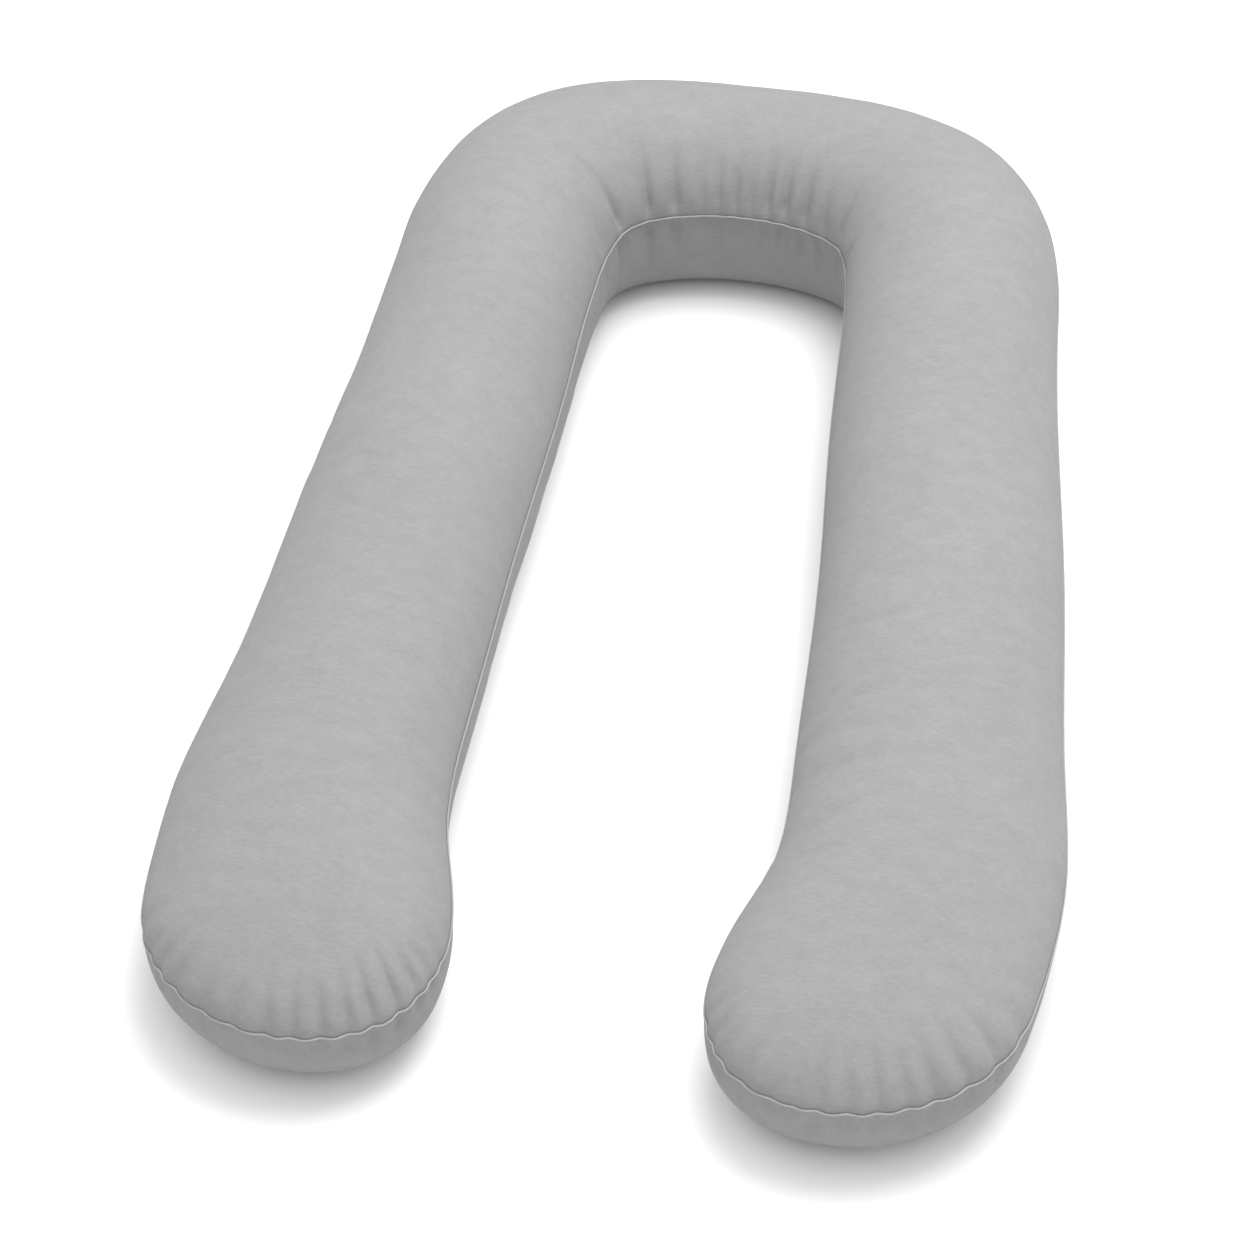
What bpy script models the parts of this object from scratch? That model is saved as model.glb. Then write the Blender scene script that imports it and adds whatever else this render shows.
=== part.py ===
# A U-shaped pregnancy pillow that lies on its underside: one long stuffed tube, bent round at the head end, with
# two rounded feet that turn in towards each other.
# Metres, +Z up. The origin is on the resting surface below the middle of the pillow, the bend is at +Y, the feet
# are at -Y, and the left leg is at -X.

import math
from collections import namedtuple

import bmesh
import bpy
import numpy as np
from mathutils import Vector

# Sections of each leg, from the foot to the middle of the bend. The right leg is a little fuller than the left.
# across, along: middle of the tube; outer, inner: half widths out to the seam, away from and towards the gap
# between the legs; crest: height of the top; seam: height of the seam.
Section = namedtuple("Section", "across along outer inner crest seam")
LEFT_LEG = (
    Section(-0.250, -0.527, 0.166, 0.116, 0.156, 0.094),
    Section(-0.289, -0.427, 0.133, 0.132, 0.164, 0.093),
    Section(-0.291, -0.277, 0.113, 0.126, 0.176, 0.098),
    Section(-0.286, -0.047, 0.111, 0.119, 0.192, 0.107),
    Section(-0.278, 0.183, 0.110, 0.113, 0.208, 0.116),
    Section(-0.274, 0.363, 0.114, 0.107, 0.220, 0.121),
    Section(-0.246, 0.525, 0.113, 0.112, 0.222, 0.122),
)
BEND_MIDDLE = Section(-0.017, 0.609, 0.092, 0.099, 0.208, 0.120)
RIGHT_LEG = (
    Section(0.239, -0.527, 0.173, 0.114, 0.156, 0.094),
    Section(0.274, -0.427, 0.148, 0.125, 0.164, 0.093),
    Section(0.274, -0.277, 0.127, 0.125, 0.176, 0.098),
    Section(0.261, -0.047, 0.117, 0.124, 0.192, 0.107),
    Section(0.237, 0.183, 0.112, 0.121, 0.208, 0.116),
    Section(0.223, 0.363, 0.108, 0.119, 0.220, 0.121),
    Section(0.184, 0.525, 0.108, 0.117, 0.222, 0.122),
)

TOE_REACH = 0.173  # from the middle of a foot to its toe
TOE_POWER = 2.16  # roundness of a foot seen from above: 2 is an ellipse, more is boxier
BEND_ROUNDING = 0.015  # how far along the seam the two corners inside the bend are rounded off
BEND_ROUNDED_FROM = 0.34  # along the legs: the rounding starts here
BEND_ROUNDED_FULL = 0.40  # and is full here
FLOOR_SHARE = 0.30  # part of the half width that lies flat on the resting surface
TOP_POWER = 1.95  # roundness of the top panel: 2 is an ellipse, more is boxier
SIDE_POWER = 2.80  # roundness of the bottom panel where it turns under

# The seam is drawn in between the two panels, and a thin welt is sewn into it.
SEAM_DRAW = 0.0018  # how deep the seam lies
SEAM_SOFT = 0.0045  # how quickly the panels come back out beside it
SEAM_LIP = 0.0050  # first row of points above and below it
WELT_RADIUS = 0.0013
WELT_SIDES = 4
WELT_GAP = 0.0004  # between the welt and the cloth on either side of it

# Gathers. at: place along the seam; depth: how deep; up, down: how far it runs from the seam over the top panel and
# over the bottom panel.
Gather = namedtuple("Gather", "at depth up down")
# From the lowest point of the left toe, towards the inner side.
LEFT_FOOT_GATHERS = (
    Gather(-0.194, 0.0019, 0.045, 0.020),
    Gather(-0.160, 0.0029, 0.055, 0.025),
    Gather(-0.139, 0.0042, 0.060, 0.035),
    Gather(-0.113, 0.0045, 0.070, 0.030),
    Gather(-0.075, 0.0029, 0.055, 0.025),
    Gather(-0.043, 0.0026, 0.060, 0.030),
    Gather(-0.010, 0.0035, 0.060, 0.020),
    Gather(0.014, 0.0048, 0.070, 0.025),
    Gather(0.040, 0.0054, 0.070, 0.030),
    Gather(0.065, 0.0061, 0.075, 0.030),
    Gather(0.088, 0.0061, 0.080, 0.045),
    Gather(0.115, 0.0061, 0.085, 0.045),
    Gather(0.140, 0.0054, 0.075, 0.030),
    Gather(0.162, 0.0045, 0.065, 0.025),
    Gather(0.184, 0.0029, 0.050, 0.020),
)
# From the lowest point of the right toe, towards the inner side.
RIGHT_FOOT_GATHERS = (
    Gather(-0.259, 0.0022, 0.045, 0.020),
    Gather(-0.211, 0.0038, 0.065, 0.030),
    Gather(-0.171, 0.0045, 0.075, 0.035),
    Gather(-0.134, 0.0051, 0.080, 0.045),
    Gather(-0.100, 0.0058, 0.080, 0.035),
    Gather(-0.075, 0.0058, 0.075, 0.030),
    Gather(-0.048, 0.0058, 0.075, 0.030),
    Gather(-0.022, 0.0054, 0.070, 0.025),
    Gather(0.005, 0.0054, 0.075, 0.035),
    Gather(0.026, 0.0032, 0.060, 0.020),
    Gather(0.046, 0.0038, 0.060, 0.025),
    Gather(0.078, 0.0038, 0.070, 0.045),
    Gather(0.107, 0.0045, 0.070, 0.035),
    Gather(0.128, 0.0042, 0.070, 0.025),
    Gather(0.152, 0.0029, 0.055, 0.020),
)
# From the middle of the seam inside the bend, towards the right leg.
BEND_GATHERS = (
    Gather(-0.224, 0.0022, 0.070, 0.040),
    Gather(-0.188, 0.0048, 0.110, 0.050),
    Gather(-0.142, 0.0058, 0.120, 0.060),
    Gather(-0.104, 0.0054, 0.120, 0.050),
    Gather(-0.074, 0.0051, 0.105, 0.045),
    Gather(-0.045, 0.0026, 0.090, 0.030),
    Gather(-0.028, 0.0032, 0.095, 0.045),
    Gather(-0.009, 0.0042, 0.095, 0.035),
    Gather(0.008, 0.0035, 0.080, 0.030),
    Gather(0.026, 0.0054, 0.105, 0.040),
    Gather(0.046, 0.0054, 0.105, 0.035),
    Gather(0.070, 0.0048, 0.100, 0.040),
    Gather(0.094, 0.0035, 0.085, 0.050),
    Gather(0.122, 0.0032, 0.080, 0.050),
    Gather(0.160, 0.0022, 0.060, 0.040),
)
FOOT_GATHER_WIDTH = 0.0075
BEND_GATHER_WIDTH = 0.0055
FOOT_SEAM_SHARE = 0.40  # part of a gather's depth that the seam itself takes up
BEND_SEAM_SHARE = 0.10
SEAM_FREE = 0.014  # distance from the seam at which a gather has its full depth
SEAM_LIFT = 0.28  # how much of a gather's depth the seam rises there

# Points along the outline: spacing where the cloth is gathered and where it is plain.
FOOT_FINE_LENGTH = 0.120
BEND_FINE_LENGTH = 0.370
FOOT_STEPS = 15
LEG_STEPS = 20
BEND_STEPS = 28
TOE_STEPS = 55

# Rows of points between the seam and the crest, and between the seam and the underside, as turns in degrees. The
# near rows carry the gathers, and the far rows have every second point.
TOP_NEAR = (8, 17, 27, 38)
TOP_FAR = (51, 66)
SIDE_NEAR = (4, 14)
SIDE_FAR = (32, 58, 90)

CLOTH_GREY = (0.500, 0.500, 0.507)
WELT_GREY = (0.560, 0.560, 0.567)
CLOTH_ROUGHNESS = 0.95

Station = namedtuple("Station", "middle reach crest seam spot")
Outline = namedtuple("Outline", "stations toe_left toe_right bend_middle runs around")


def clear_scene():
    for item in list(bpy.data.objects):
        bpy.data.objects.remove(item, do_unlink=True)


def tube_sections():
    """Every section from the left foot over the bend to the right foot, as rows of numbers."""
    return np.array([*LEFT_LEG, BEND_MIDDLE, *reversed(RIGHT_LEG)])


def curve_bends(knots, values):
    """Second derivatives at the knots of the smooth curve through the values, straight at both ends."""
    gaps = np.diff(knots)
    slopes = np.diff(values, axis=0) / gaps[:, None]
    matrix = np.eye(len(knots))
    right = np.zeros_like(values)
    for i in range(1, len(knots) - 1):
        matrix[i, i - 1 : i + 2] = gaps[i - 1], 2 * (gaps[i - 1] + gaps[i]), gaps[i]
        right[i] = 6 * (slopes[i] - slopes[i - 1])
    return np.linalg.solve(matrix, right)


def curve_at(knots, values, bends, place):
    """Value and slope of that curve at one place along it."""
    i = min(int(np.searchsorted(knots, place, side="right")) - 1, len(knots) - 2)
    gap = knots[i + 1] - knots[i]
    b = (place - knots[i]) / gap
    a = 1 - b
    value = a * values[i] + b * values[i + 1]
    value = value + ((a**3 - a) * bends[i] + (b**3 - b) * bends[i + 1]) * gap**2 / 6
    slope = (values[i + 1] - values[i]) / gap
    slope = slope + ((3 * b**2 - 1) * bends[i + 1] - (3 * a**2 - 1) * bends[i]) * gap / 6
    return value, slope


def spine_places(length):
    """Places along the middle of the tube, closer together at the feet and round the bend."""
    half = length / 2
    foot = np.linspace(0, FOOT_FINE_LENGTH, FOOT_STEPS, endpoint=False)
    leg = np.linspace(FOOT_FINE_LENGTH, half - BEND_FINE_LENGTH, LEG_STEPS, endpoint=False)
    bend = np.linspace(half - BEND_FINE_LENGTH, half, BEND_STEPS, endpoint=False)
    one_leg = np.concatenate([foot, leg, bend])
    return np.concatenate([one_leg, [half], length - one_leg[::-1]])


def rounded_corners(stations):
    """The stations of the inner side, with their edge rounded off where the seam turns inside the bend."""
    edge = np.array([station.middle + station.reach for station in stations])
    steps = np.hypot(*np.gradient(edge, axis=0).T)
    runs = np.cumsum(steps)
    made = []
    for station, place, run in zip(stations, edge, runs):
        weights = steps * np.exp(-(((run - runs) / BEND_ROUNDING) ** 2))
        smooth = weights @ edge / weights.sum()
        share = (place[1] - BEND_ROUNDED_FROM) / (BEND_ROUNDED_FULL - BEND_ROUNDED_FROM)
        place = place + min(1, max(0, share)) * (smooth - place)
        made.append(station._replace(reach=place - station.middle))
    return made


def toe_stations(section, away, ahead, spot):
    """Stations round a foot, from the side that 'away' points to, past the toe, to the other side."""
    middle, first, second = section[:2], section[2], section[3]
    stations = []
    for k in range(1, TOE_STEPS + 1):
        turn = math.pi * k / (TOE_STEPS + 1)
        width = first if turn < math.pi / 2 else second
        sideways = math.copysign(abs(math.cos(turn)) ** (2 / TOE_POWER), math.cos(turn))
        reach = away * sideways * width + ahead * math.sin(turn) ** (2 / TOE_POWER) * TOE_REACH
        stations.append(Station(middle, reach, section[4], section[5], spot))
    return stations


def outline():
    """Stations once round the pillow: outer side, right foot, inner side, left foot."""
    rows = tube_sections()
    knots = np.concatenate([[0], np.cumsum(np.hypot(*np.diff(rows[:, :2], axis=0).T))])
    bends = curve_bends(knots, rows)
    outer, inner, sections, aheads = [], [], [], []
    for spot, place in enumerate(spine_places(knots[-1])):
        section, slope = curve_at(knots, rows, bends, place)
        ahead = slope[:2] / np.hypot(*slope[:2])
        away = np.array([-ahead[1], ahead[0]])
        middle, crest, seam = section[:2], section[4], section[5]
        outer.append(Station(middle, away * section[2], crest, seam, spot))
        inner.append(Station(middle, -away * section[3], crest, seam, spot))
        sections.append(section)
        aheads.append(ahead)
    inner = rounded_corners(inner)
    count = len(outer)
    first, last = sections[0], sections[-1]
    away_last = np.array([-aheads[-1][1], aheads[-1][0]])
    away_first = np.array([-aheads[0][1], aheads[0][0]])
    right_toe = toe_stations(last, away_last, aheads[-1], count - 1)
    swapped = np.array([*first[:2], first[3], first[2], *first[4:]])
    left_toe = toe_stations(swapped, -away_first, -aheads[0], 0)
    stations = outer + right_toe + inner[::-1] + left_toe
    edge = np.array([s.middle + s.reach for s in stations])
    lengths = np.hypot(*(np.roll(edge, -1, axis=0) - edge).T)
    runs = np.concatenate([[0], np.cumsum(lengths)[:-1]])
    right_spots = range(count, count + TOE_STEPS)
    left_spots = range(2 * count + TOE_STEPS, len(stations))
    return Outline(
        stations,
        min(left_spots, key=lambda i: edge[i][1]),
        min(right_spots, key=lambda i: edge[i][1]),
        count + TOE_STEPS + count // 2,
        runs,
        lengths.sum(),
    )


def gather_depths(shape):
    """For each station, the gathers that touch it: how deep each one is there, how far it runs up and down, and the
    seam's part of it."""
    groups = (
        (LEFT_FOOT_GATHERS, shape.toe_left, -1, FOOT_GATHER_WIDTH, FOOT_SEAM_SHARE),
        (RIGHT_FOOT_GATHERS, shape.toe_right, 1, FOOT_GATHER_WIDTH, FOOT_SEAM_SHARE),
        (BEND_GATHERS, shape.bend_middle, -1, BEND_GATHER_WIDTH, BEND_SEAM_SHARE),
    )
    touching = [[] for _ in shape.stations]
    for gathers, origin, sense, width, share in groups:
        for gather in gathers:
            centre = shape.runs[origin] + sense * gather.at
            for i, run in enumerate(shape.runs):
                off = (run - centre + shape.around / 2) % shape.around - shape.around / 2
                if abs(off) < 3 * width:
                    depth = gather.depth * math.exp(-((off / width) ** 2))
                    touching[i].append((depth, gather.up, gather.down, share))
    return touching


def gather_depth(touching, far, rising=True):
    """How far the cloth is drawn in at a distance from the seam, on the top panel or on the bottom one."""
    total = 0
    for depth, up, down, share in touching:
        reach = up if rising else down
        if far < reach:
            build = share + (1 - share) * min(1, far / SEAM_FREE)
            total += depth * build * (1 - (far / reach) ** 2) ** 2
    return total


def cloth_point(station, touching, turn, lip=0.0):
    """A point of the pillow's skin. turn: degrees from the seam, 90 at the crest, -90 at the edge of the flat
    underside. lip: a distance from the seam that replaces the turn."""
    angle = math.radians(abs(turn))
    rising = turn > 0 or lip > 0
    power = TOP_POWER if rising else SIDE_POWER
    rise = station.crest - station.seam if rising else station.seam
    flat = 0 if rising else FLOOR_SHARE
    if lip:
        share = abs(lip) / rise
        across = (1 - share**power) ** (1 / power)
    else:
        across = math.cos(angle) ** (2 / power)
        share = math.sin(angle) ** (2 / power)
    height = rise * share if rising else -rise * share
    reach = np.hypot(*station.reach)
    out = reach * (flat + (1 - flat) * across)
    draw = SEAM_DRAW * math.exp(-abs(height) / SEAM_SOFT)
    gather = gather_depth(touching, math.hypot(height, reach - out), rising)
    tilt = math.atan2(height, out)
    out_now = out - draw - gather * math.cos(tilt)
    height_now = height - gather * math.sin(tilt)
    if turn > -90:
        height_now += SEAM_LIFT * gather_depth(touching, 0) * math.exp(-abs(height) / SEAM_FREE)
    place = station.middle + station.reach / reach * out_now
    return Vector((place[0], place[1], max(0, station.seam + height_now)))


def stitch(mesh, near, far):
    """Faces between two closed rows of points. The far row has as many points, or half as many."""
    step = len(near) // len(far)
    for k in range(len(far)):
        a, b = near[k * step], near[(k + 1) * step % len(near)]
        c, d = far[(k + 1) % len(far)], far[k]
        if step == 2:
            middle = near[k * step + 1]
            corner_sets = ((a, middle, d), (middle, b, c), (middle, c, d))
        else:
            corner_sets = ((a, b, c, d),)
        for corners in corner_sets:
            unique = list(dict.fromkeys(corners))
            if len(unique) > 2:
                mesh.faces.new(unique)


def finish_object(name, mesh, material):
    bmesh.ops.triangulate(mesh, faces=mesh.faces[:])
    bmesh.ops.recalc_face_normals(mesh, faces=mesh.faces[:])
    data = bpy.data.meshes.new(name)
    mesh.to_mesh(data)
    mesh.free()
    data.shade_smooth()
    data.materials.append(material)
    made = bpy.data.objects.new(name, data)
    bpy.context.scene.collection.objects.link(made)
    return made


def cloth_material(name, colour):
    material = bpy.data.materials.new(name)
    material.use_nodes = True
    shader = material.node_tree.nodes["Principled BSDF"]
    shader.inputs["Base Color"].default_value = (*colour, 1)
    shader.inputs["Roughness"].default_value = CLOTH_ROUGHNESS
    shader.inputs["Metallic"].default_value = 0
    return material


def make_pillow(shape, touching):
    """The stuffed body, in one skin: rows of points from the seam up to the crest and down to the underside."""
    mesh = bmesh.new()

    def row(turn=0.0, lip=0.0, step=1):
        spots = range(0, len(shape.stations), step)
        return [mesh.verts.new(cloth_point(shape.stations[i], touching[i], turn, lip)) for i in spots]

    def spine_row(height_of):
        made = {}
        for station in shape.stations[::2]:
            if station.spot not in made:
                made[station.spot] = mesh.verts.new((*station.middle, height_of(station)))
        return [made[station.spot] for station in shape.stations[::2]]

    seam = row()
    top = [seam, row(lip=SEAM_LIP)]
    top += [row(turn) for turn in TOP_NEAR]
    top += [row(turn, step=2) for turn in TOP_FAR]
    top.append(spine_row(lambda station: station.crest))
    side = [seam, row(lip=-SEAM_LIP)]
    side += [row(-turn) for turn in SIDE_NEAR]
    side += [row(-turn, step=2) for turn in SIDE_FAR]
    side.append(spine_row(lambda station: 0))
    for rows in (top, side):
        for near, far in zip(rows, rows[1:]):
            stitch(mesh, near, far)
    return finish_object("pillow", mesh, cloth_material("pillow_cloth", CLOTH_GREY))


def make_welt(shape, touching):
    """The welt, a thin closed tube that lies in the groove of the seam and follows all its waves."""
    mesh = bmesh.new()
    rings = []
    for station, near in zip(shape.stations, touching):
        floor = cloth_point(station, near, 0)
        above = cloth_point(station, near, 0, SEAM_LIP)
        below = cloth_point(station, near, 0, -SEAM_LIP)
        up, down = (above - floor).normalized(), (below - floor).normalized()
        out = (up + down).normalized()
        half_open = out.angle(up)
        middle = floor + out * (WELT_RADIUS + WELT_GAP) / math.sin(half_open)
        side = (up - down).normalized()
        turns = [2 * math.pi * k / WELT_SIDES for k in range(WELT_SIDES)]
        ring = [middle + (out * math.cos(t) + side * math.sin(t)) * WELT_RADIUS for t in turns]
        rings.append([mesh.verts.new(point) for point in ring])
    for k, ring in enumerate(rings):
        following = rings[(k + 1) % len(rings)]
        for i in range(WELT_SIDES):
            j = (i + 1) % WELT_SIDES
            mesh.faces.new((ring[i], ring[j], following[j], following[i]))
    return finish_object("seam_welt", mesh, cloth_material("welt_cloth", WELT_GREY))


def main():
    clear_scene()
    shape = outline()
    touching = gather_depths(shape)
    make_pillow(shape, touching)
    make_welt(shape, touching)


main()
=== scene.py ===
import math

import bpy
import numpy as np
from mathutils import Matrix, Vector, noise


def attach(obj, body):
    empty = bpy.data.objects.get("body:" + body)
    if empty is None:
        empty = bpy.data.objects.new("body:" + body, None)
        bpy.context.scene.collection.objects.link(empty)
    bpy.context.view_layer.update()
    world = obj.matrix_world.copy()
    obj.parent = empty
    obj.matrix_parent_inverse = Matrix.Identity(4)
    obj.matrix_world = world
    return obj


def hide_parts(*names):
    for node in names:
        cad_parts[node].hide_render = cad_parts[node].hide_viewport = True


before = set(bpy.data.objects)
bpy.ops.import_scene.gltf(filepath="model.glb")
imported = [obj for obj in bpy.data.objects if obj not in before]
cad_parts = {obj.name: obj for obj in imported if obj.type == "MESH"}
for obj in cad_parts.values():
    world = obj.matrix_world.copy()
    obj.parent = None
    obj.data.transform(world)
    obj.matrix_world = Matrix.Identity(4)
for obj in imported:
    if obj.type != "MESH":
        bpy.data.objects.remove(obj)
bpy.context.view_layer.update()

# The stuffed body. Each leg row: across, along (middle of the tube), outer, inner (half widths out to the seam),
# crest and seam (heights). Rows run from the foot to the bend. Each gather row: place along the seam, depth,
# run up the top panel, run down the bottom panel.
pillowShape = {
    "leftLeg": (
        (-0.250, -0.527, 0.173, 0.119, 0.156, 0.094),
        (-0.289, -0.427, 0.133, 0.132, 0.164, 0.093),
        (-0.291, -0.277, 0.115, 0.126, 0.176, 0.098),
        (-0.286, -0.047, 0.112, 0.119, 0.192, 0.107),
        (-0.278, 0.183, 0.110, 0.113, 0.208, 0.116),
        (-0.274, 0.363, 0.114, 0.107, 0.220, 0.121),
        (-0.246, 0.525, 0.113, 0.112, 0.222, 0.122),
    ),
    "bendMiddle": (-0.017, 0.609, 0.092, 0.099, 0.208, 0.120),
    "rightLeg": (
        (0.237, -0.527, 0.177, 0.113, 0.156, 0.094),
        (0.274, -0.427, 0.1435, 0.125, 0.164, 0.093),
        (0.274, -0.277, 0.127, 0.125, 0.176, 0.098),
        (0.261, -0.047, 0.117, 0.124, 0.192, 0.107),
        (0.237, 0.183, 0.112, 0.121, 0.208, 0.116),
        (0.223, 0.363, 0.108, 0.119, 0.220, 0.121),
        (0.184, 0.525, 0.108, 0.117, 0.222, 0.122),
    ),
    "toeReach": 0.180,
    "toePower": 2.00,  # 2 is an ellipse seen from above, more is boxier
    "floorShare": 0.30,  # part of the half width that lies flat
    "bendRounding": 0.015,
    "bendRoundedFrom": (0.34, 0.40),  # where along the legs the rounding starts and is full
    "footRounding": 0.060,
    "footRoundedFrom": (-0.50, -0.38),  # where the rounding is full and where it ends
    "topPower": 1.95,
    "sidePower": 2.80,
    # from the lowest point of the toe towards the inner side
    "leftFootGathers": (
        (-0.194, 0.0049, 0.045, 0.020),
        (-0.160, 0.0072, 0.055, 0.025),
        (-0.139, 0.0104, 0.060, 0.035),
        (-0.113, 0.0112, 0.070, 0.030),
        (-0.075, 0.0072, 0.055, 0.025),
        (-0.043, 0.0065, 0.060, 0.030),
        (-0.010, 0.0088, 0.060, 0.020),
        (0.014, 0.0096, 0.070, 0.025),
        (0.040, 0.0109, 0.070, 0.030),
        (0.065, 0.0122, 0.075, 0.030),
        (0.088, 0.0122, 0.080, 0.045),
        (0.115, 0.0122, 0.085, 0.045),
        (0.140, 0.0109, 0.075, 0.030),
        (0.162, 0.0090, 0.065, 0.025),
        (0.184, 0.0057, 0.050, 0.020),
    ),
    "rightFootGathers": (
        (-0.259, 0.0042, 0.045, 0.020),
        (-0.211, 0.0071, 0.065, 0.030),
        (-0.171, 0.0083, 0.075, 0.035),
        (-0.134, 0.0095, 0.080, 0.045),
        (-0.100, 0.0107, 0.080, 0.035),
        (-0.075, 0.0107, 0.075, 0.030),
        (-0.048, 0.0107, 0.075, 0.030),
        (-0.022, 0.0101, 0.070, 0.025),
        (0.005, 0.0101, 0.075, 0.035),
        (0.026, 0.0059, 0.060, 0.020),
        (0.046, 0.0071, 0.060, 0.025),
        (0.078, 0.0071, 0.070, 0.045),
        (0.107, 0.0083, 0.070, 0.035),
        (0.128, 0.0077, 0.070, 0.025),
        (0.152, 0.0053, 0.055, 0.020),
    ),
    # from the middle of the seam inside the bend towards the right leg
    "bendGathers": (
        (-0.224, 0.0046, 0.077, 0.060),
        (-0.188, 0.0085, 0.121, 0.075),
        (-0.142, 0.0100, 0.132, 0.090),
        (-0.104, 0.0098, 0.132, 0.075),
        (-0.074, 0.0095, 0.116, 0.068),
        (-0.045, 0.0053, 0.099, 0.045),
        (-0.028, 0.0066, 0.105, 0.068),
        (-0.009, 0.0086, 0.105, 0.053),
        (0.008, 0.0073, 0.088, 0.045),
        (0.026, 0.0112, 0.116, 0.060),
        (0.046, 0.0112, 0.116, 0.053),
        (0.070, 0.0099, 0.110, 0.060),
        (0.094, 0.0073, 0.094, 0.075),
        (0.122, 0.0066, 0.088, 0.075),
        (0.160, 0.0046, 0.066, 0.060),
    ),
    "footGatherWidth": 0.0065,
    "bendGatherWidth": 0.0050,
    "footSeamShare": 0.30,  # part of a gather's depth that the seam itself takes up
    "bendSeamShare": 0.07,
    "seamFree": 0.020,  # distance from the seam at which a gather is at its deepest
    "seamLift": 0.16,
    "seamDraw": 0.0018,
    "seamSoft": 0.0045,
    # points of the skin: steps along the tube and round a toe, and rows out from the seam in metres
    "toeSteps": 100,
    "footLength": 0.120,
    "footSteps": 15,
    "legSteps": 88,
    "bendLength": 0.330,
    "bendSteps": 64,
    "topNear": (0.002, 0.0045, 0.008, 0.0125, 0.018, 0.0245, 0.032, 0.040, 0.049, 0.058),
    "topFarSteps": 10,
    "sideNear": (0.002, 0.0045, 0.008, 0.0125, 0.018, 0.0245, 0.032, 0.040),
    "sideFarSteps": 8,
}


def smoothCurve(knots, values, places):
    # natural cubic spline through the rows, with its slope
    gaps = np.diff(knots)
    slopes = np.diff(values, axis=0) / gaps[:, None]
    matrix = np.eye(len(knots))
    right = np.zeros_like(values)
    for i in range(1, len(knots) - 1):
        matrix[i, i - 1 : i + 2] = gaps[i - 1], 2 * (gaps[i - 1] + gaps[i]), gaps[i]
        right[i] = 6 * (slopes[i] - slopes[i - 1])
    bends = np.linalg.solve(matrix, right)
    i = np.clip(np.searchsorted(knots, places, side="right") - 1, 0, len(knots) - 2)
    gap = gaps[i][:, None]
    b = (places[:, None] - knots[i][:, None]) / gap
    a = 1 - b
    value = a * values[i] + b * values[i + 1]
    value += ((a**3 - a) * bends[i] + (b**3 - b) * bends[i + 1]) * gap**2 / 6
    slope = slopes[i] + ((3 * b**2 - 1) * bends[i + 1] - (3 * a**2 - 1) * bends[i]) * gap / 6
    return value, slope


def roundedCorners(edge, rounding, share):
    # the closed outline with its corners rounded off, by the given share of each point
    steps = np.hypot(*(np.roll(edge, -1, axis=0) - edge).T)
    run = np.concatenate([[0], np.cumsum(steps)[:-1]])
    apart = np.abs(run[:, None] - run)
    apart = np.minimum(apart, steps.sum() - apart)
    weights = (steps + np.roll(steps, 1)) * np.exp(-((apart / rounding) ** 2))
    smooth = weights @ edge / weights.sum(axis=1)[:, None]
    return edge + share[:, None] * (smooth - edge)


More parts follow.
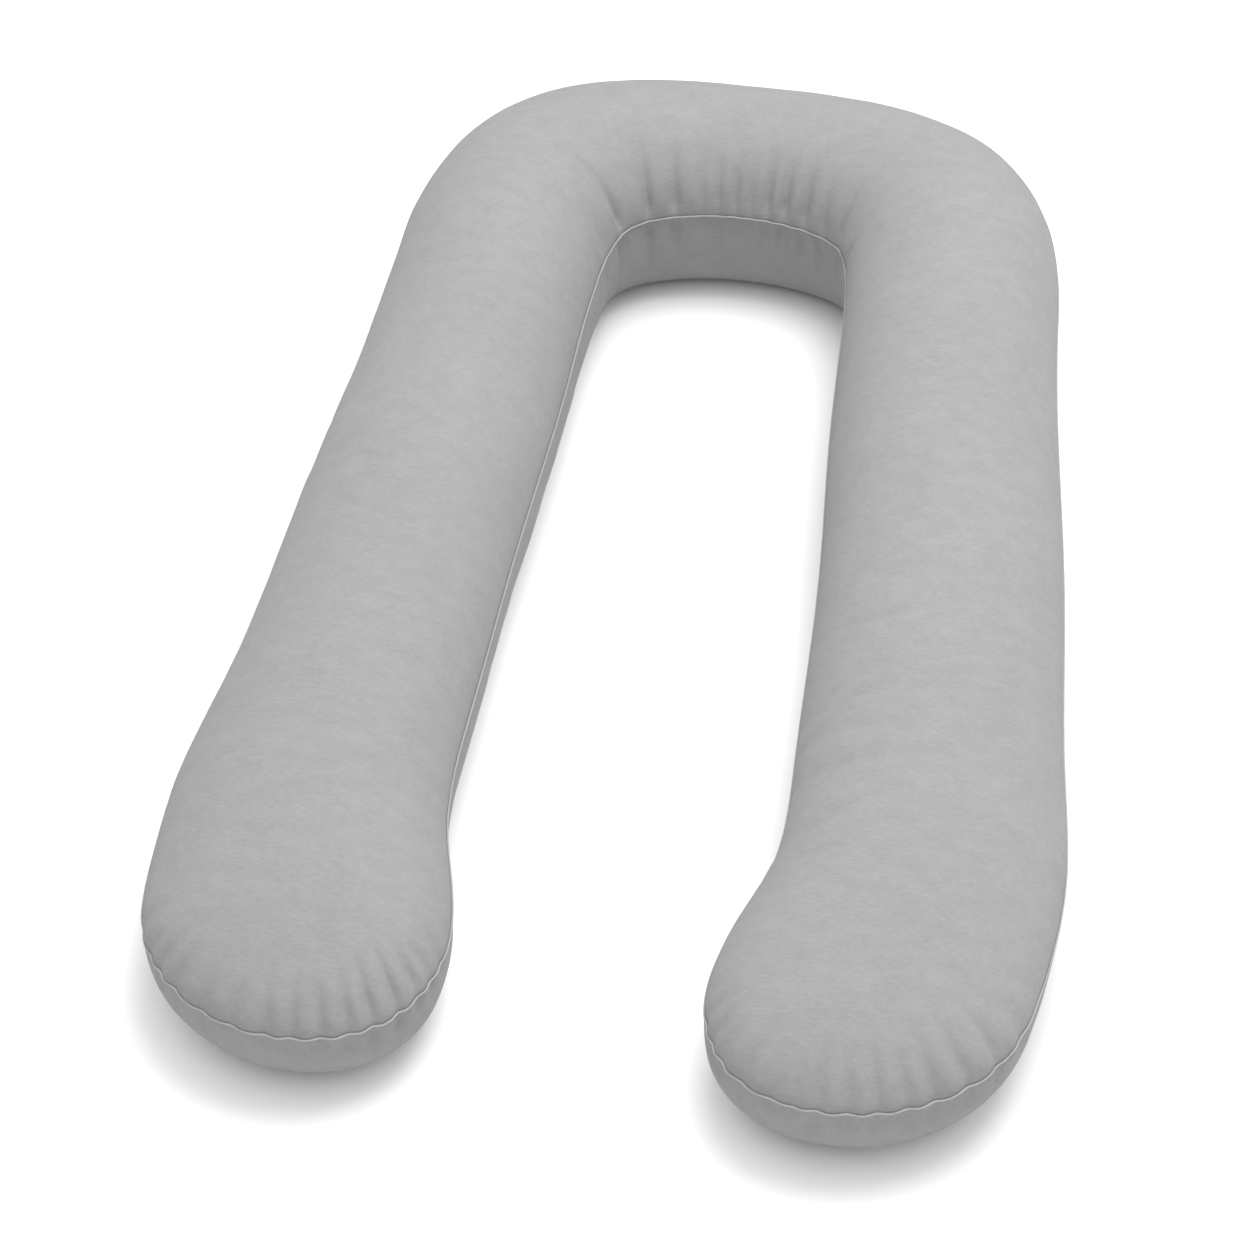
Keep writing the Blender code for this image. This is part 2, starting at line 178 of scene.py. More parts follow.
def pillowOutline(shape):
    # stations once round: outer side from the left foot, right toe, inner side back, left toe
    rows = np.array([*shape["leftLeg"], shape["bendMiddle"], *reversed(shape["rightLeg"])])
    knots = np.concatenate([[0], np.cumsum(np.hypot(*np.diff(rows[:, :2], axis=0).T))])
    length, half = knots[-1], knots[-1] / 2
    foot = np.linspace(0, shape["footLength"], shape["footSteps"], endpoint=False)
    leg = np.linspace(shape["footLength"], half - shape["bendLength"], shape["legSteps"], endpoint=False)
    bend = np.linspace(half - shape["bendLength"], half, shape["bendSteps"], endpoint=False)
    oneLeg = np.concatenate([foot, leg, bend])
    places = np.concatenate([oneLeg, [half], length - oneLeg[::-1]])
    sections, slopes = smoothCurve(knots, rows, places)
    ahead = slopes[:, :2] / np.hypot(*slopes[:, :2].T)[:, None]
    away = np.stack([-ahead[:, 1], ahead[:, 0]], axis=1)
    count = len(places)

    def toe(section, first, second, side, forward):
        turn = np.pi * np.arange(1, shape["toeSteps"] + 1) / (shape["toeSteps"] + 1)
        width = np.where(turn < np.pi / 2, first, second)
        across = np.copysign(np.abs(np.cos(turn)) ** (2 / shape["toePower"]), np.cos(turn)) * width
        reach = np.sin(turn) ** (2 / shape["toePower"]) * shape["toeReach"]
        return across[:, None] * side + reach[:, None] * forward

    rightToe = toe(sections[-1], sections[-1][2], sections[-1][3], away[-1], ahead[-1])
    leftToe = toe(sections[0], sections[0][3], sections[0][2], -away[0], -ahead[0])
    outer, inner = away * sections[:, 2:3], -away * sections[:, 3:4]
    reach = np.concatenate([outer, rightToe, inner[::-1], leftToe])
    toeSpots = np.ones(shape["toeSteps"], int)
    spot = np.concatenate([np.arange(count), toeSpots * (count - 1), np.arange(count)[::-1], toeSpots * 0])
    middle = sections[spot][:, :2]
    edge = middle + reach
    atBend = np.interp(edge[:, 1], shape["bendRoundedFrom"], (0, 1))
    atBend[: count + shape["toeSteps"]] = 0
    edge = roundedCorners(edge, shape["bendRounding"], atBend)
    edge = roundedCorners(edge, shape["footRounding"], np.interp(edge[:, 1], shape["footRoundedFrom"], (1, 0)))
    reach = edge - middle
    steps = np.hypot(*(np.roll(edge, -1, axis=0) - edge).T)
    run = np.concatenate([[0], np.cumsum(steps)[:-1]])
    rightToes = np.arange(count, count + shape["toeSteps"])
    leftToes = np.arange(2 * count + shape["toeSteps"], len(edge))
    return {
        "middle": middle,
        "reach": np.hypot(*reach.T),
        "away": reach / np.hypot(*reach.T)[:, None],
        "crest": sections[spot][:, 4],
        "seam": sections[spot][:, 5],
        "spot": spot,
        "spine": sections[:, :2],
        "run": run,
        "round": steps.sum(),
        "leftToe": run[leftToes[np.argmin(edge[leftToes, 1])]],
        "rightToe": run[rightToes[np.argmin(edge[rightToes, 1])]],
        "bendMiddle": run[count + shape["toeSteps"] + count // 2],
    }


# Small puckers between the gathers, close to the seam.
puckers = {
    "seed": 7,
    "spacing": 0.011,
    "depth": (0.0004, 0.0013),
    "up": (0.012, 0.034),
    "down": (0.008, 0.022),
    "width": (0.0028, 0.0045),
    "share": 0.5,
}


def puckerRows(spec, origin, sense, low, high):
    # small gathers at uneven places between two places along the seam
    rng = np.random.default_rng(spec["seed"] + round(1000 * origin))
    places = np.arange(low, high, spec["spacing"])
    places = places + rng.uniform(-0.4, 0.4, len(places)) * spec["spacing"]
    sizes = [rng.uniform(*spec[name], len(places)) for name in ("depth", "up", "down", "width")]
    return [(origin + sense * at, *size, spec["share"]) for at, size in zip(places, zip(*sizes))]


def gatherTable(shape, outline):
    # every gather as: run along the seam, depth, up, down, width, share of the depth at the seam
    groups = (
        (shape["leftFootGathers"], outline["leftToe"], -1, shape["footGatherWidth"], shape["footSeamShare"]),
        (shape["rightFootGathers"], outline["rightToe"], 1, shape["footGatherWidth"], shape["footSeamShare"]),
        (shape["bendGathers"], outline["bendMiddle"], -1, shape["bendGatherWidth"], shape["bendSeamShare"]),
    )
    table = []
    for gathers, origin, sense, width, share in groups:
        table += [(origin + sense * at, depth, up, down, width, share) for at, depth, up, down in gathers]
        table += puckerRows(puckers, origin, sense, gathers[0][0], gathers[-1][0])
    return table


def gatherDepth(shape, gathers, outline, run, far):
    # how far the cloth is drawn in, from the place along the seam and the distance from it over the cloth
    away = np.abs(far)
    total = np.zeros(len(run))
    for centre, depth, up, down, width, share in gathers:
        build = share + (1 - share) * min(1, away / shape["seamFree"])
        off = (run - centre + outline["round"] / 2) % outline["round"] - outline["round"] / 2
        fade = np.clip(1 - (away / (up if far >= 0 else down)) ** 2, 0, 1) ** 2
        total += depth * np.exp(-(np.abs(off / width) ** 1.6)) * build * fade
    return total


def panelRows(shape, outline, near, farSteps, isTop):
    # for each row: out from the middle, height from the seam, and distance along the cloth from the spine
    angle = np.linspace(0, np.pi / 2, 300)
    power = shape["topPower"] if isTop else shape["sidePower"]
    flat = 0 if isTop else shape["floorShare"]
    rise = outline["crest"] - outline["seam"] if isTop else -outline["seam"]
    across = flat + (1 - flat) * np.cos(angle) ** (2 / power)
    share = np.sin(angle) ** (2 / power)
    if not isTop:  # the flat underside, in to the spine
        across = np.append(across, np.linspace(flat, 0, 12)[1:])
        share = np.append(share, np.ones(11))
    out = outline["reach"][:, None] * across
    height = rise[:, None] * share
    steps = np.hypot(np.diff(out, axis=1), np.diff(height, axis=1))
    along = np.concatenate([np.zeros((len(out), 1)), np.cumsum(steps, axis=1)], axis=1)
    rows = []
    for k in range(len(near) + farSteps + 1):
        if k == 0:
            far = np.zeros(len(out))
        elif k <= len(near):
            far = np.full(len(out), near[k - 1])
        else:
            far = near[-1] + (along[:, -1] - near[-1]) * (k - len(near)) / (farSteps + 1)
        rowOut = np.array([np.interp(f, a, o) for f, a, o in zip(far, along, out)])
        rowHeight = np.array([np.interp(f, a, h) for f, a, h in zip(far, along, height)])
        rows.append((rowOut, rowHeight, along[:, -1] - far))
    return rows


def skinPoints(shape, outline, gathers, rowOut, rowHeight, far):
    # points of one row, with the gathers drawn in. far: distance from the seam, less than 0 on the bottom panel
    depth = gatherDepth(shape, gathers, outline, outline["run"], far)
    atSeam = gatherDepth(shape, gathers, outline, outline["run"], 0)
    tilt = np.arctan2(rowHeight, rowOut)
    out = rowOut - depth * np.cos(tilt)
    lift = shape["seamLift"] * atSeam * math.exp(-abs(far) / shape["seamFree"])
    height = outline["seam"] + rowHeight - depth * np.sin(tilt) + lift
    place = outline["middle"] + outline["away"] * out[:, None]
    return np.column_stack([place, np.maximum(height, 0)])


def makePillowSkin(shape, outline, gathers):
    # quads from the seam up to the crest and down to the underside, with the cloth's own flat coordinates as UV
    count = len(outline["run"])
    points, flats, runs, fars = [], [], [], []
    faces, faceFlats = [], []

    def addRow(coords, flat, far):
        start = sum(len(p) for p in points)
        points.append(coords)
        flats.append(flat)
        runs.append(outline["run"] if len(coords) == count else np.zeros(len(coords)))
        fars.append(np.full(len(coords), far) if np.isscalar(far) else far)
        return start

    def panel(rows, seamStart, isTop):
        sign = 1 if isTop else -1
        previous = np.arange(count) + seamStart
        previousFlat = outline["middle"] + outline["away"] * rows[0][2][:, None]
        for rowOut, rowHeight, left in rows[1:]:
            far = sign * (rows[0][2] - left)
            coords = skinPoints(shape, outline, gathers, rowOut, rowHeight, far.mean())
            flat = outline["middle"] + outline["away"] * left[:, None]
            start = addRow(coords, flat, far)
            current = np.arange(count) + start
            stitchRows(previous, current, previousFlat, flat, isTop)
            previous, previousFlat = current, flat
        spineHeight = np.zeros(len(outline["spine"]))
        if isTop:
            spineHeight[outline["spot"]] = outline["crest"]
        coords = np.column_stack([outline["spine"], spineHeight])
        start = addRow(coords, outline["spine"], sign * 0.2)
        stitchRows(previous, start + outline["spot"], previousFlat, outline["middle"], isTop)

    def stitchRows(near, far, nearFlat, farFlat, isTop):
        for k in range(count):
            j = (k + 1) % count
            corners = [(near[k], nearFlat[k]), (near[j], nearFlat[j]), (far[j], farFlat[j]), (far[k], farFlat[k])]
            if far[j] == far[k]:
                corners.pop(2)
            if isTop:
                corners.reverse()
            faces.append([int(c[0]) for c in corners])
            faceFlats.extend(c[1] for c in corners)

    topRows = panelRows(shape, outline, shape["topNear"], shape["topFarSteps"], True)
    sideRows = panelRows(shape, outline, shape["sideNear"], shape["sideFarSteps"], False)
    seamCoords = skinPoints(shape, outline, gathers, topRows[0][0], topRows[0][1], 0)
    seamStart = addRow(seamCoords, outline["middle"], 0.0)
    panel(topRows, seamStart, True)
    panel(sideRows, seamStart, False)
    data = bpy.data.meshes.new("pillow_cover")
    data.from_pydata(np.concatenate(points).tolist(), [], faces)
    uv = data.uv_layers.new(name="clothFlat")
    uv.data.foreach_set("uv", np.array(faceFlats, np.float32).ravel())
    for name, values in (("seamRun", runs), ("seamFar", fars)):
        attribute = data.attributes.new(name, "FLOAT", "POINT")
        attribute.data.foreach_set("value", np.concatenate(values).astype(np.float32))
    data.update()
    cover = bpy.data.objects.new("pillow_cover", data)
    bpy.context.scene.collection.objects.link(cover)
    return cover


def setActive(obj):
    bpy.ops.object.select_all(action="DESELECT")
    obj.select_set(True)
    bpy.context.view_layer.objects.active = obj


def readPoints(obj):
    points = np.empty(len(obj.data.vertices) * 3, np.float32)
    obj.data.vertices.foreach_get("co", points)
    return points.reshape(-1, 3).astype(float)


def writePoints(obj, points):
    obj.data.vertices.foreach_set("co", points.astype(np.float32).ravel())
    obj.data.update()


def readValues(obj, name):
    values = np.empty(len(obj.data.vertices), np.float32)
    obj.data.attributes[name].data.foreach_get("value", values)
    return values.astype(float)


def readNormals(obj):
    normals = np.empty(len(obj.data.vertices) * 3, np.float32)
    obj.data.vertex_normals.foreach_get("vector", normals)
    return normals.reshape(-1, 3).astype(float)


# How the stuffing presses the gathered cover out. The seam and the underside are held, and the gathers have extra
# cloth. Of the movement, only what changes along the seam within the gathers is kept, so the pillow keeps its size.
swelling = {
    "frames": 24,
    "pressure": 1.2,
    "tension": 80.0,
    "bending": 0.4,
    "heldNear": 0.001,  # distance from the seam that is held
    "surplus": 0.10,  # extra cloth in a gather
    "surplusWidth": 0.030,  # along the seam, on each side of a gather
    "spread": 40,  # rounds of smoothing along the seam that part the gathers from the broad swelling
    "cap": 0.005,  # how far a point may move
}


def meanAlongSeam(cover, values, rounds):
    # the values averaged with their neighbours' in the same row, over and over
    ends = np.empty(len(cover.data.edges) * 2, np.int32)
    cover.data.edges.foreach_get("vertices", ends)
    first, second = ends.reshape(-1, 2).T
    far = readValues(cover, "seamFar")
    inRow = np.abs(far[first] - far[second]) < 0.0012
    first, second = first[inRow], second[inRow]
    count = len(values)
    shared = np.bincount(first, minlength=count) + np.bincount(second, minlength=count)
    shared = np.maximum(shared, 1)[:, None]
    for _ in range(rounds):
        total = np.zeros_like(values)
        for axis in range(values.shape[1]):
            total[:, axis] = np.bincount(first, values[second, axis], count)
            total[:, axis] += np.bincount(second, values[first, axis], count)
        values = 0.5 * values + 0.5 * total / shared
    return values


def surplusWeights(cover, gathers, outline, spec):
    # 1 where the cloth is most gathered, 0 where it is plain
    run, far = readValues(cover, "seamRun"), readValues(cover, "seamFar")
    weights = np.zeros(len(run))
    for centre, depth, up, down, width, share in gathers:
        off = (run - centre + outline["round"] / 2) % outline["round"] - outline["round"] / 2
        reach = np.where(far >= 0, up, down)
        fade = np.clip(1 - (np.abs(far) / reach) ** 2, 0, 1)
        weights = np.maximum(weights, np.exp(-((off / spec["surplusWidth"]) ** 2)) * fade)
    return weights


def swellCover(cover, gathers, outline, spec):
    before = readPoints(cover)
    far = readValues(cover, "seamFar")
    held = cover.vertex_groups.new(name="held")
    still = (np.abs(far) < spec["heldNear"]) | (before[:, 2] < 0.004)
    held.add(np.flatnonzero(still).tolist(), 1.0, "REPLACE")
    surplus = cover.vertex_groups.new(name="surplus")
    gathered = surplusWeights(cover, gathers, outline, spec)
    for index, weight in enumerate(gathered):
        surplus.add([index], weight, "REPLACE")
    setActive(cover)
    cloth = cover.modifiers.new("Stuffing", "CLOTH")
    settings = cloth.settings
    settings.quality = 5
    settings.mass = 0.3
    settings.tension_stiffness = spec["tension"]
    settings.compression_stiffness = spec["tension"]
    settings.shear_stiffness = spec["tension"] / 3
    settings.bending_stiffness = spec["bending"]
    settings.vertex_group_mass = "held"
    settings.use_pressure = True
    settings.uniform_pressure_force = spec["pressure"]
    settings.vertex_group_shrink = "surplus"
    settings.shrink_min = 0
    settings.shrink_max = -spec["surplus"]
    settings.effector_weights.gravity = 0
    cloth.collision_settings.use_collision = False
    cloth.point_cache.frame_start = 1
    cloth.point_cache.frame_end = spec["frames"]
    for number in range(1, spec["frames"] + 1):
        bpy.context.scene.frame_set(number)
    bpy.ops.object.modifier_apply(modifier="Stuffing")
    bpy.context.scene.frame_set(1)
    move = readPoints(cover) - before
    broad = meanAlongSeam(cover, move, spec["spread"])
    fine = (move - broad) * gathered[:, None]
    for name, part in (("all", move), ("broad", broad), ("fine", fine)):
        size = np.linalg.norm(part, axis=1)
        print("swell, %s: mean %.1f mm, most %.1f mm" % (name, size.mean() * 1000, size.max() * 1000))
    fine *= (spec["cap"] * np.tanh(size / spec["cap"]) / np.maximum(size, 1e-9))[:, None]
    fine[still] = 0
    after = before + fine
    after[:, 2] = np.maximum(after[:, 2], 0)
    writePoints(cover, after)


# Unevenness of the stuffing, and soft creases across the legs. Each crease row: x, y, heading in degrees, length,
# width, depth.
unevenness = {
    "lumps": ((0.085, 0.0011), (0.040, 0.0005)),  # size of a lump, height
    "creases": (
        (0.215, -0.100, 16, 0.080, 0.0070, 0.0016),
        (0.205, -0.160, 10, 0.080, 0.0065, 0.0019),
        (0.218, -0.221, 7, 0.060, 0.0065, 0.0019),
        (0.206, -0.255, 17, 0.060, 0.0060, 0.0025),
        (0.196, -0.296, 4, 0.080, 0.0065, 0.0026),
        (0.200, -0.338, 5, 0.075, 0.0065, 0.0026),
        (0.182, -0.404, 31, 0.060, 0.0060, 0.0032),
        (0.184, -0.445, 12, 0.060, 0.0060, 0.0025),
        (-0.345, 0.060, -20, 0.080, 0.0080, 0.0016),
        (-0.335, -0.020, -25, 0.080, 0.0080, 0.0017),
        (-0.322, -0.095, -26, 0.080, 0.0080, 0.0017),
        (-0.200, -0.360, -38, 0.050, 0.0060, 0.0023),
        (-0.365, -0.385, 22, 0.060, 0.0070, 0.0019),
        (-0.375, -0.430, 24, 0.060, 0.0070, 0.0021),
    ),
    "aboveFloor": 0.05,  # height at which the unevenness is full
}


def unevenStuffing(cover, spec):
    points, normals = readPoints(cover), readNormals(cover)
    shift = np.zeros(len(points))
    for size, height in spec["lumps"]:
        shift += height * np.array([noise.noise(Vector(point / size)) for point in points])
    for x, y, heading, length, width, depth in spec["creases"]:
        angle = math.radians(heading)
        offX, offY = points[:, 0] - x, points[:, 1] - y
        along = offX * math.cos(angle) + offY * math.sin(angle)
        aside = offY * math.cos(angle) - offX * math.sin(angle)
        top = normals[:, 2] > 0
        shift -= depth * top * np.exp(-((along / length * 2) ** 2) - (aside / width) ** 2)
    shift *= np.clip(points[:, 2] / spec["aboveFloor"], 0, 1)
    shift *= np.clip(np.abs(readValues(cover, "seamFar")) / 0.02, 0, 1)
    writePoints(cover, points + normals * shift[:, None])


def drawSeamIn(cover, shape):
    # the groove of the seam, put in after the cover has its fine mesh
    points, far = readPoints(cover), readValues(cover, "seamFar")
    normals = readNormals(cover)
    draw = shape["seamDraw"] * np.exp(-np.abs(far) / shape["seamSoft"])
    sideways = normals * [1, 1, 0]
    sideways /= np.maximum(np.linalg.norm(sideways, axis=1), 1e-6)[:, None]
    writePoints(cover, points - sideways * draw[:, None])


# The welt: a thin strip of the same cloth, folded over and sewn into the seam.
weltShape = {
    "radius": 0.0009,
    "proud": 0.0000,  # its middle, out from the line of the seam before the groove
    "sides": 8,
}


def seamLoop(cover):
    # the cover's points on the seam, in order round the pillow
    onSeam = set(np.flatnonzero(np.abs(readValues(cover, "seamFar")) < 1e-5).tolist())
    beside = {k: [] for k in onSeam}
    for edge in cover.data.edges:
        first, second = edge.vertices
        if first in onSeam and second in onSeam:
            beside[first].append(second)
            beside[second].append(first)
    loop = [min(onSeam)]
    previous = None
    while len(loop) < len(onSeam):
        following = next(k for k in beside[loop[-1]] if k != previous)
        previous = loop[-1]
        loop.append(following)
    return loop


def makeWelt(cover, shape, spec):
    # a closed tube along the seam of the finished cover, its UV along and round it in metres
    line = readPoints(cover)[seamLoop(cover)]
    x, y = line[:, 0], line[:, 1]
    turning = np.sign((x * np.roll(y, -1) - np.roll(x, -1) * y).sum())
    ahead = np.roll(line, -1, axis=0) - np.roll(line, 1, axis=0)
    ahead /= np.linalg.norm(ahead, axis=1)[:, None]
    out = turning * np.cross(ahead, [0, 0, 1])
    out /= np.linalg.norm(out, axis=1)[:, None]
    up = np.cross(ahead, out)
    up *= np.sign(up[:, 2:3])
    middle = line + out * (shape["seamDraw"] + spec["proud"])
    turns = 2 * np.pi * np.arange(spec["sides"]) / spec["sides"]
    rings = middle[:, None] + spec["radius"] * (
        np.cos(turns)[None, :, None] * out[:, None] + np.sin(turns)[None, :, None] * up[:, None]
    )
    count, sides = len(line), spec["sides"]
    faces, flats = [], []
    along = np.concatenate([[0], np.cumsum(np.linalg.norm(np.diff(line, axis=0), axis=1))])
    along = np.append(along, along[-1] + np.linalg.norm(line[0] - line[-1]))
    step = 2 * math.pi * spec["radius"] / sides
    for k in range(count):
        for i in range(sides):
            j, n = (i + 1) % sides, (k + 1) % count
            faces.append((k * sides + i, k * sides + j, n * sides + j, n * sides + i))
            for u, v in ((k, i), (k, i + 1), (k + 1, i + 1), (k + 1, i)):
                flats.append((along[u], v * step))
    data = bpy.data.meshes.new("seam_piping")
    data.from_pydata(rings.reshape(-1, 3).tolist(), [], faces)
    uv = data.uv_layers.new(name="clothFlat")
    uv.data.foreach_set("uv", np.array(flats, np.float32).ravel())
    data.update()
    welt = bpy.data.objects.new("seam_piping", data)
    bpy.context.scene.collection.objects.link(welt)
    faceOutwards(welt)
    return welt


def faceOutwards(obj):
    setActive(obj)
    bpy.ops.object.mode_set(mode="EDIT")
    bpy.ops.mesh.select_all(action="SELECT")
    bpy.ops.mesh.normals_make_consistent(inside=False)
    bpy.ops.object.mode_set(mode="OBJECT")
    obj.data.shade_smooth()


def node(tree, kind, place=(0, 0), **values):
    made = tree.nodes.new(kind)
    made.location = place
    for name, value in values.items():
        if hasattr(made, name):
            setattr(made, name, value)
        else:
            made.inputs[name.replace("_", " ")].default_value = value
    return made


def noiseOf(tree, coords, scale, detail=2.0, roughness=0.55):
    # noise stretched by a scale in each direction, in repeats to the metre
    mapping = node(tree, "ShaderNodeMapping", Scale=scale)
    tree.links.new(coords, mapping.inputs["Vector"])
    made = node(tree, "ShaderNodeTexNoise", Scale=1.0, Detail=detail, Roughness=roughness)
    tree.links.new(mapping.outputs["Vector"], made.inputs["Vector"])
    return made.outputs["Fac"]


def ramp(tree, value, low, high, toLow=0.0, toHigh=1.0):
    made = node(tree, "ShaderNodeMapRange")
    made.interpolation_type = "SMOOTHSTEP"
    for name, number in (("From Min", low), ("From Max", high), ("To Min", toLow), ("To Max", toHigh)):
        made.inputs[name].default_value = number
    tree.links.new(value, made.inputs["Value"])
    return made.outputs["Result"]


def combine(tree, operation, first, second, clamp=False):
    made = node(tree, "ShaderNodeMath", operation=operation, use_clamp=clamp)
    for socket, value in zip(made.inputs, (first, second)):
        if isinstance(value, (int, float)):
            socket.default_value = value
        else:
            tree.links.new(value, socket)
    return made.outputs["Value"]


def mixColour(tree, factor, first, second, blend="MIX"):
    made = node(tree, "ShaderNodeMix", data_type="RGBA", blend_type=blend)
    for socket, value in ((made.inputs[0], factor), (made.inputs[6], first), (made.inputs[7], second)):
        if isinstance(value, (int, float)):
            socket.default_value = value
        elif isinstance(value, tuple):
            socket.default_value = value
        else:
            tree.links.new(value, socket)
    return made.outputs[2]


def heatherGroup():
    # heathered jersey: light and dark fibres lying across the cloth, the knit's small loops, and a little fuzz
    tree = bpy.data.node_groups.new("heatherJersey", "ShaderNodeTree")
    face = tree.interface
    face.new_socket(name="Cloth", in_out="INPUT", socket_type="NodeSocketVector")
    face.new_socket(name="Ground", in_out="INPUT", socket_type="NodeSocketColor")
    face.new_socket(name="Light fibre", in_out="INPUT", socket_type="NodeSocketColor")
    face.new_socket(name="Dark fibre", in_out="INPUT", socket_type="NodeSocketColor")
    face.new_socket(name="Fleck", in_out="INPUT", socket_type="NodeSocketFloat")
    face.new_socket(name="Colour", in_out="OUTPUT", socket_type="NodeSocketColor")
    face.new_socket(name="Height", in_out="OUTPUT", socket_type="NodeSocketFloat")
    start = node(tree, "NodeGroupInput", (-1400, 0))
    end = node(tree, "NodeGroupOutput", (800, 0))
    cloth = start.outputs["Cloth"]
    streaks = noiseOf(tree, cloth, (130, 420, 1), 3.0, 0.6)
    fibres = noiseOf(tree, cloth, (260, 800, 1), 2.0, 0.6)
    strays = noiseOf(tree, cloth, (95, 900, 40), 1.0, 0.5)
    clouds = noiseOf(tree, cloth, (34, 60, 1), 3.0, 0.6)
    drift = noiseOf(tree, cloth, (5, 7, 1), 2.0, 0.5)
    light = combine(tree, "MULTIPLY", ramp(tree, streaks, 0.50, 0.72), start.outputs["Fleck"])
    dark = combine(tree, "MULTIPLY", ramp(tree, streaks, 0.50, 0.30), start.outputs["Fleck"])
    colour = mixColour(tree, light, start.outputs["Ground"], start.outputs["Light fibre"])
    colour = mixColour(tree, dark, colour, start.outputs["Dark fibre"])
    spot = combine(tree, "MULTIPLY", ramp(tree, fibres, 0.60, 0.78), start.outputs["Fleck"])
    colour = mixColour(tree, spot, colour, start.outputs["Dark fibre"])
    for value, fibre in ((ramp(tree, strays, 0.70, 0.80), "Light fibre"), (ramp(tree, strays, 0.29, 0.20), "Dark fibre")):
        colour = mixColour(tree, combine(tree, "MULTIPLY", value, 0.55), colour, start.outputs[fibre])
    shade = combine(tree, "MULTIPLY", ramp(tree, clouds, 0.2, 0.8, 0.955, 1.045), ramp(tree, drift, 0.3, 0.7, 0.985, 1.015))
    grey = node(tree, "ShaderNodeCombineColor")
    for socket in grey.inputs[:3]:
        tree.links.new(shade, socket)
    colour = mixColour(tree, 1.0, colour, grey.outputs["Color"], "MULTIPLY")
    wales = node(tree, "ShaderNodeTexWave", wave_type="BANDS", bands_direction="X", Scale=310.0, Distortion=0.35)
    courses = node(tree, "ShaderNodeTexWave", wave_type="BANDS", bands_direction="Y", Scale=400.0, Distortion=0.35)
    for wave in (wales, courses):
        wave.inputs["Detail"].default_value = 0.0
        tree.links.new(cloth, wave.inputs["Vector"])
    loops = combine(tree, "MULTIPLY", wales.outputs["Fac"], courses.outputs["Fac"])
    height = combine(tree, "ADD", combine(tree, "MULTIPLY", loops, 0.5), combine(tree, "MULTIPLY", fibres, 0.5))
    tree.links.new(colour, end.inputs["Colour"])
    tree.links.new(height, end.inputs["Height"])
    return tree


# The cloth's colours and feel.
jerseyLook = {
    "ground": (0.445, 0.445, 0.450, 1),
    "lightFibre": (0.56, 0.56, 0.565, 1),
    "darkFibre": (0.33, 0.33, 0.335, 1),
    "fleck": 0.28,
    "roughness": 0.92,
    "sheen": 0.12,
    "loopHeight": 0.00022,
}
# The welt's cloth: the same jersey with a lighter ground, a painted highlight along the ridge of the seam.
weltLookPaintedHighlight = dict(jerseyLook, ground=(0.60, 0.60, 0.605, 1), fleck=0.30)


def jerseyMaterial(name, group, look):
    material = bpy.data.materials.new(name)
    material.use_nodes = True
    tree = material.node_tree
    shader = tree.nodes["Principled BSDF"]
    shader.inputs["Roughness"].default_value = look["roughness"]
    shader.inputs["Sheen Weight"].default_value = look["sheen"]
    shader.inputs["Sheen Roughness"].default_value = 0.5
    shader.inputs["Specular IOR Level"].default_value = 0.2
    flat = node(tree, "ShaderNodeUVMap", (-900, 0), uv_map="clothFlat")
    heather = node(tree, "ShaderNodeGroup", (-600, 0))
    heather.node_tree = group
    heather.inputs["Ground"].default_value = look["ground"]
    heather.inputs["Light fibre"].default_value = look["lightFibre"]
    heather.inputs["Dark fibre"].default_value = look["darkFibre"]
    heather.inputs["Fleck"].default_value = look["fleck"]
    tree.links.new(flat.outputs["UV"], heather.inputs["Cloth"])
    tree.links.new(heather.outputs["Colour"], shader.inputs["Base Color"])
    bump = node(tree, "ShaderNodeBump", (-300, -200), Strength=1.0, Distance=look["loopHeight"])
    tree.links.new(heather.outputs["Height"], bump.inputs["Height"])
    tree.links.new(bump.outputs["Normal"], shader.inputs["Normal"])
    return material


outline = pillowOutline(pillowShape)
gathers = gatherTable(pillowShape, outline)
cover = makePillowSkin(pillowShape, outline, gathers)
print("cover cut: %d points, %d faces" % (len(cover.data.vertices), len(cover.data.polygons)))
swellCover(cover, gathers, outline, swelling)
setActive(cover)
finer = cover.modifiers.new("Finer", "SUBSURF")
finer.levels = finer.render_levels = 1
bpy.ops.object.modifier_apply(modifier="Finer")
unevenStuffing(cover, unevenness)
drawSeamIn(cover, pillowShape)
cover.data.shade_smooth()
print("cover sewn: %d faces" % len(cover.data.polygons))
welt = makeWelt(cover, pillowShape, weltShape)
print("welt sewn in: %d faces" % len(welt.data.polygons))

heather = heatherGroup()
cover.data.materials.append(jerseyMaterial("pillow_jersey", heather, jerseyLook))
# the welt gets the lighter jersey, a painted highlight on the seam's ridge
welt.data.materials.append(jerseyMaterial("welt_jersey_painted_highlight", heather, weltLookPaintedHighlight))
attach(cover, "root")
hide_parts("pillow")
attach(welt, "root")
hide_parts("seam_welt")

# The camera, at the photograph's angle. The picture is square.
cameraPlace = {
    "place": (0.455, -2.622, 2.4825),
    "heading": math.radians(-11.26),
    "down": math.radians(43.24),
    "roll": math.radians(-1.02),
    "lens": 102.1,
}


def placeCamera(spec):
    heading, down, roll = spec["heading"], spec["down"], spec["roll"]
    forward = Vector((math.sin(heading) * math.cos(down), math.cos(heading) * math.cos(down), -math.sin(down)))
    level = Vector((math.cos(heading), -math.sin(heading), 0))
    up = level.cross(forward)
    right = math.cos(roll) * level + math.sin(roll) * up
    above = -math.sin(roll) * level + math.cos(roll) * up
    data = bpy.data.cameras.new("camera")
    data.sensor_width = 36
    data.lens = spec["lens"]
    data.clip_start, data.clip_end = 0.05, 60
    camera = bpy.data.objects.new("camera", data)
    bpy.context.scene.collection.objects.link(camera)
    turn = Matrix((right, above, -forward)).transposed()
    camera.matrix_world = Matrix.Translation(spec["place"]) @ turn.to_4x4()
    bpy.context.scene.camera = camera
    return camera


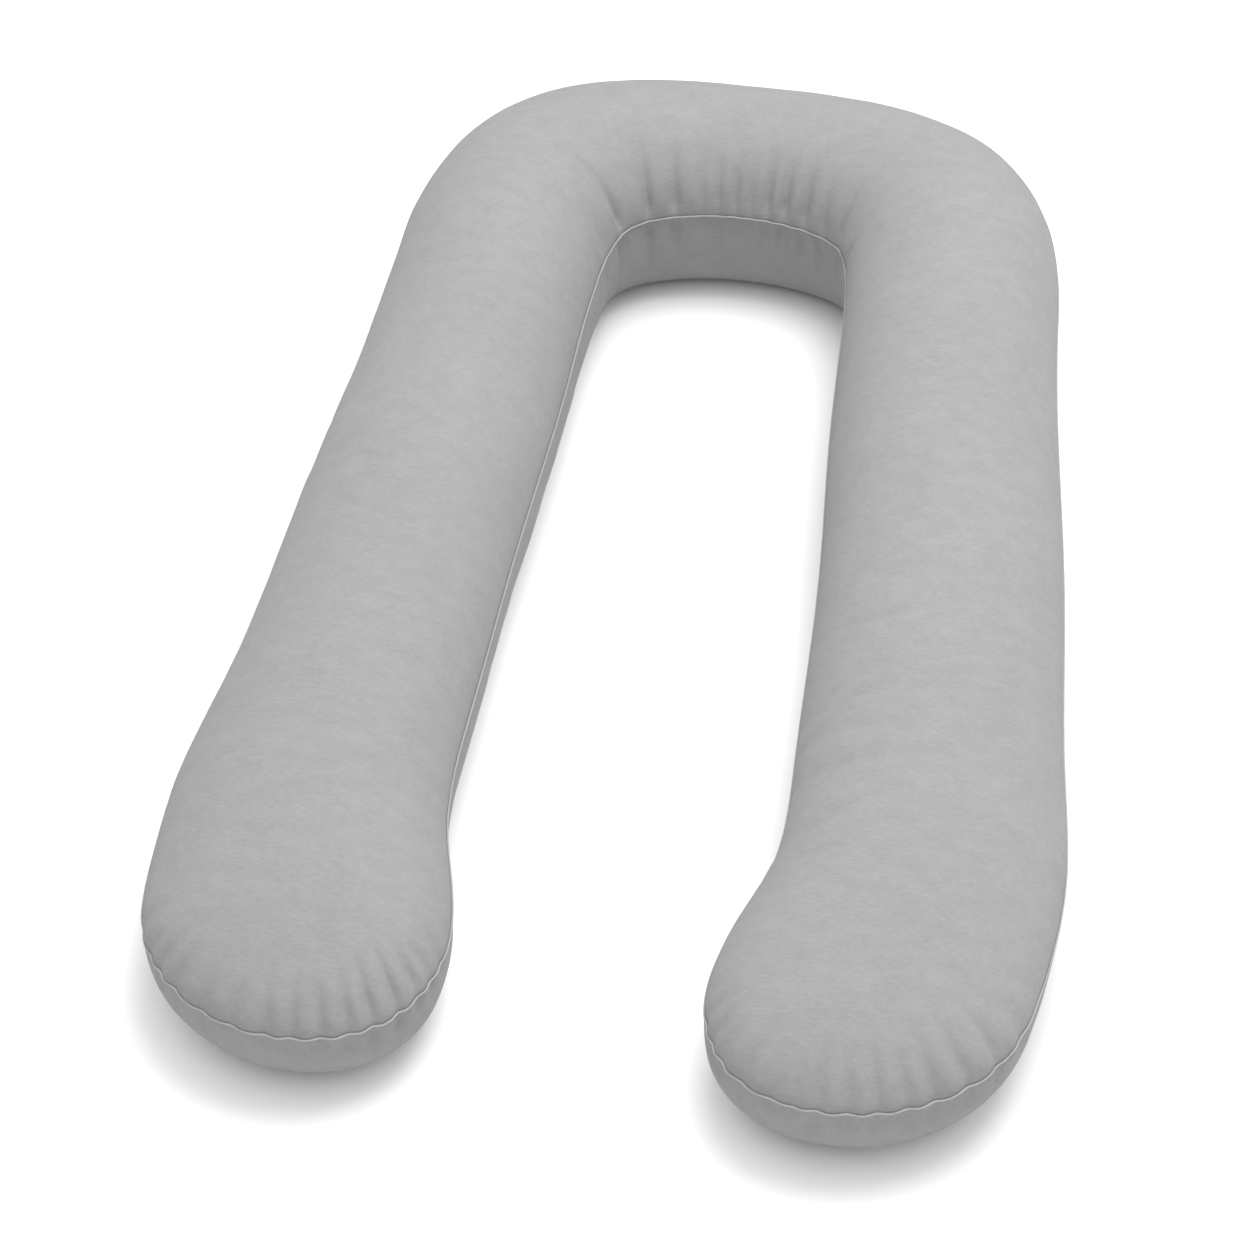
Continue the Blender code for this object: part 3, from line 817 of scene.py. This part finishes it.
camera = placeCamera(cameraPlace)

studio = {
    "floorSize": 14.0,
    "floorColour": (0.92, 0.92, 0.92, 1),
    # the floor colour for light bouncing back up: darker than the floor the camera sees, so the pillow's lower
    # sides stay in deeper shade
    "floorBounceDimmed": (0.54, 0.54, 0.54, 1),  # what it throws back up
    "worldStrength": 0.53,
    "keyStrength": 116.0,
    "keySize": 2.8,
    "keyPlace": (0.7, 0.7, 4.2),
    "floorStrength": 192.0,  # a second lamp, for the floor alone
    "floorSizeOfLamp": 9.0,
    "floorPlace": (0.3, -0.2, 3.2),
}


def areaLamp(name, place, size, strength):
    light = bpy.data.lights.new(name, "AREA")
    light.shape = "DISK"
    light.size = size
    light.energy = strength
    lamp = bpy.data.objects.new(name, light)
    bpy.context.scene.collection.objects.link(lamp)
    lamp.location = place
    lamp.rotation_mode = "QUATERNION"
    lamp.rotation_quaternion = (-lamp.location).to_track_quat("-Z", "Y")
    return lamp


def makeStudio(spec):
    bpy.ops.object.select_all(action="DESELECT")
    bpy.ops.mesh.primitive_plane_add(size=spec["floorSize"], location=(0, 0, -0.0005))
    floor = bpy.context.object
    floor.name = "floor"
    paint = bpy.data.materials.new("floor_paint")
    paint.use_nodes = True
    shader = paint.node_tree.nodes["Principled BSDF"]
    shader.inputs["Roughness"].default_value = 0.9
    shader.inputs["Specular IOR Level"].default_value = 0.1
    # the camera sees the pale floor; all other rays get the darker bounce colour, a dimmed copy that deepens the
    # shade on the pillow
    seen = node(paint.node_tree, "ShaderNodeLightPath", (-600, 0)).outputs["Is Camera Ray"]
    colour = mixColour(paint.node_tree, seen, spec["floorBounceDimmed"], spec["floorColour"])
    paint.node_tree.links.new(colour, shader.inputs["Base Color"])
    floor.data.materials.append(paint)
    world = bpy.data.worlds.new("studio")
    world.use_nodes = True
    background = world.node_tree.nodes["Background"]
    background.inputs["Color"].default_value = (1, 1, 1, 1)
    background.inputs["Strength"].default_value = spec["worldStrength"]
    bpy.context.scene.world = world
    areaLamp("key", spec["keyPlace"], spec["keySize"], spec["keyStrength"])
    floorLamp = areaLamp("floor_lamp", spec["floorPlace"], spec["floorSizeOfLamp"], spec["floorStrength"])
    lit = bpy.data.collections.new("floor_only")
    lit.objects.link(floor)
    floorLamp.light_linking.receiver_collection = lit


makeStudio(studio)
bpy.context.scene.view_settings.view_transform = "Standard"
